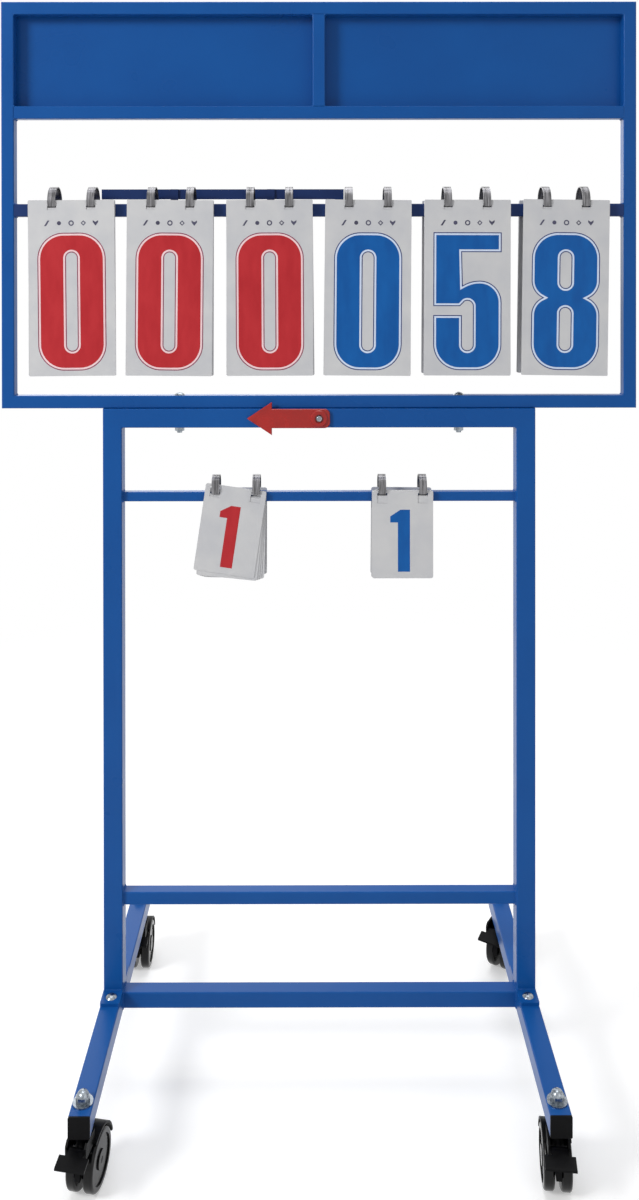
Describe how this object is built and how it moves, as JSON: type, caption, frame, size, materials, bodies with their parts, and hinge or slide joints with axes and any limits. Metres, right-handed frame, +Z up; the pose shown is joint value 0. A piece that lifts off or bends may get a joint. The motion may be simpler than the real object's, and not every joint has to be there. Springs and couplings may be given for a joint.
{
  "type": "flip scoreboard",
  "caption": "Floor-standing flip scoreboard on braked casters: square-tube stand and board, number cards on strip hoops, name recesses and a turning pointer.",
  "frame": {"origin": "on the floor below the middle of the posts, the bottom centre of the object's box", "axes": "+X to the reader's right, +Y away from the reader through the board, +Z up"},
  "size_m": [1, 0.5714, 1.69],
  "materials": {
    "blue_powder_coat": "glossy powder coat",
    "zinc_plate": "bright zinc plate",
    "strip_steel": "rolled steel strip",
    "card_sheet": "satin PVC sheet",
    "red_plastic": "moulded, glossy",
    "black_plastic": "moulded nylon",
    "wheel_rubber": "smooth tread"
  },
  "bodies": {
    "stand_and_board": {"board_top_rail": "blue_powder_coat", "board_bottom_rail": "blue_powder_coat", "board_left_stile": "blue_powder_coat", "board_right_stile": "blue_powder_coat", "name_board_rail": "blue_powder_coat", "name_board_divider": "blue_powder_coat", "name_board_sheet": "blue_powder_coat", "card_rail": "blue_powder_coat", "rear_bar": "blue_powder_coat", "stand_top_rail": "blue_powder_coat", "left_post": "blue_powder_coat", "right_post": "blue_powder_coat", "set_rail": "blue_powder_coat", "upper_cross_bar": "blue_powder_coat", "lower_cross_bar": "blue_powder_coat", "post_base_plates": "blue_powder_coat", "left_foot": "blue_powder_coat", "right_foot": "blue_powder_coat", "foot_end_caps": "black_plastic", "board_bolts": "zinc_plate", "board_nuts": "zinc_plate", "base_bolts": "zinc_plate", "base_nuts": "zinc_plate", "caster_stems": "zinc_plate", "caster_washers": "zinc_plate", "caster_nuts": "zinc_plate", "score_hoops": "strip_steel", "set_hoops": "strip_steel", "pointer_washer": "zinc_plate", "pointer_screw": "zinc_plate", "pointer_nut": "zinc_plate", "red_hundreds_pile": "card_sheet", "red_tens_pile": "card_sheet", "red_units_pile": "card_sheet", "blue_hundreds_pile": "card_sheet", "blue_tens_pile": "card_sheet", "blue_units_pile": "card_sheet", "red_set_pile": "card_sheet", "blue_set_pile": "card_sheet"},
    "pointer": {"pointer": "red_plastic"},
    "red_hundreds_card": {"red_hundreds_card": "card_sheet"},
    "red_tens_card": {"red_tens_card": "card_sheet"},
    "red_units_card": {"red_units_card": "card_sheet"},
    "blue_hundreds_card": {"blue_hundreds_card": "card_sheet"},
    "blue_tens_card": {"blue_tens_card": "card_sheet"},
    "blue_units_card": {"blue_units_card": "card_sheet"},
    "red_set_card": {"red_set_card": "card_sheet"},
    "blue_set_card": {"blue_set_card": "card_sheet"},
    "front_left_fork": {"front_left_fork": "black_plastic"},
    "front_left_wheels": {"front_left_wheels": "wheel_rubber"},
    "front_left_pedal": {"front_left_pedal": "black_plastic"},
    "front_right_fork": {"front_right_fork": "black_plastic"},
    "front_right_wheels": {"front_right_wheels": "wheel_rubber"},
    "front_right_pedal": {"front_right_pedal": "black_plastic"},
    "rear_left_fork": {"rear_left_fork": "black_plastic"},
    "rear_left_wheels": {"rear_left_wheels": "wheel_rubber"},
    "rear_left_pedal": {"rear_left_pedal": "black_plastic"},
    "rear_right_fork": {"rear_right_fork": "black_plastic"},
    "rear_right_wheels": {"rear_right_wheels": "wheel_rubber"},
    "rear_right_pedal": {"rear_right_pedal": "black_plastic"}
  },
  "joints": [
    {"name": "red_hundreds_flip", "type": "hinge", "parent": "stand_and_board", "child": "red_hundreds_card", "pos_m": [0, 0, 1.375], "axis": [-1, 0, 0], "range_deg": [0, 160]},
    {"name": "red_tens_flip", "type": "hinge", "parent": "stand_and_board", "child": "red_tens_card", "pos_m": [0, 0, 1.375], "axis": [-1, 0, 0], "range_deg": [0, 160]},
    {"name": "red_units_flip", "type": "hinge", "parent": "stand_and_board", "child": "red_units_card", "pos_m": [0, 0, 1.375], "axis": [-1, 0, 0], "range_deg": [0, 160]},
    {"name": "blue_hundreds_flip", "type": "hinge", "parent": "stand_and_board", "child": "blue_hundreds_card", "pos_m": [0, 0, 1.375], "axis": [-1, 0, 0], "range_deg": [0, 160]},
    {"name": "blue_tens_flip", "type": "hinge", "parent": "stand_and_board", "child": "blue_tens_card", "pos_m": [0, 0, 1.375], "axis": [-1, 0, 0], "range_deg": [0, 160]},
    {"name": "blue_units_flip", "type": "hinge", "parent": "stand_and_board", "child": "blue_units_card", "pos_m": [0, 0, 1.375], "axis": [-1, 0, 0], "range_deg": [0, 160]},
    {"name": "red_set_flip", "type": "hinge", "parent": "stand_and_board", "child": "red_set_card", "pos_m": [0, 0, 0.925], "axis": [-1, 0, 0], "range_deg": [0, 150]},
    {"name": "blue_set_flip", "type": "hinge", "parent": "stand_and_board", "child": "blue_set_card", "pos_m": [0, 0, 0.925], "axis": [-1, 0, 0], "range_deg": [0, 150]},
    {"name": "pointer_turn", "type": "hinge", "parent": "stand_and_board", "child": "pointer", "pos_m": [0, -0.018, 1.035], "axis": [0, -1, 0], "range_deg": [0, 180]},
    {"name": "front_left_swivel", "type": "hinge", "parent": "stand_and_board", "child": "front_left_fork", "pos_m": [-0.325, -0.229, 0.09], "axis": [0, 0, 1], "continuous": true},
    {"name": "front_left_roll", "type": "hinge", "parent": "front_left_fork", "child": "front_left_wheels", "pos_m": [-0.32153, -0.2093, 0.0375], "axis": [-0.9848, 0.1736, 0], "continuous": true},
    {"name": "front_left_brake", "type": "hinge", "parent": "front_left_fork", "child": "front_left_pedal", "pos_m": [-0.32865, -0.24968, 0.08], "axis": [-0.9848, 0.1736, 0], "range_deg": [0, 15]},
    {"name": "front_right_swivel", "type": "hinge", "parent": "stand_and_board", "child": "front_right_fork", "pos_m": [0.325, -0.229, 0.09], "axis": [0, 0, 1], "continuous": true},
    {"name": "front_right_roll", "type": "hinge", "parent": "front_right_fork", "child": "front_right_wheels", "pos_m": [0.32709, -0.20911, 0.0375], "axis": [-0.9945, 0.1045, 0], "continuous": true},
    {"name": "front_right_brake", "type": "hinge", "parent": "front_right_fork", "child": "front_right_pedal", "pos_m": [0.32281, -0.24988, 0.08], "axis": [-0.9945, 0.1045, 0], "range_deg": [0, 15]},
    {"name": "rear_left_swivel", "type": "hinge", "parent": "stand_and_board", "child": "rear_left_fork", "pos_m": [-0.325, 0.229, 0.09], "axis": [0, 0, 1], "continuous": true},
    {"name": "rear_left_roll", "type": "hinge", "parent": "rear_left_fork", "child": "rear_left_wheels", "pos_m": [-0.325, 0.249, 0.0375], "axis": [-1, 0, 0], "continuous": true},
    {"name": "rear_left_brake", "type": "hinge", "parent": "rear_left_fork", "child": "rear_left_pedal", "pos_m": [-0.325, 0.208, 0.08], "axis": [-1, 0, 0], "range_deg": [0, 15]},
    {"name": "rear_right_swivel", "type": "hinge", "parent": "stand_and_board", "child": "rear_right_fork", "pos_m": [0.325, 0.229, 0.09], "axis": [0, 0, 1], "continuous": true},
    {"name": "rear_right_roll", "type": "hinge", "parent": "rear_right_fork", "child": "rear_right_wheels", "pos_m": [0.3356, 0.24596, 0.0375], "axis": [-0.848, 0.5299, 0], "continuous": true},
    {"name": "rear_right_brake", "type": "hinge", "parent": "rear_right_fork", "child": "rear_right_pedal", "pos_m": [0.31387, 0.21119, 0.08], "axis": [-0.848, 0.5299, 0], "range_deg": [0, 15]}
  ]
}
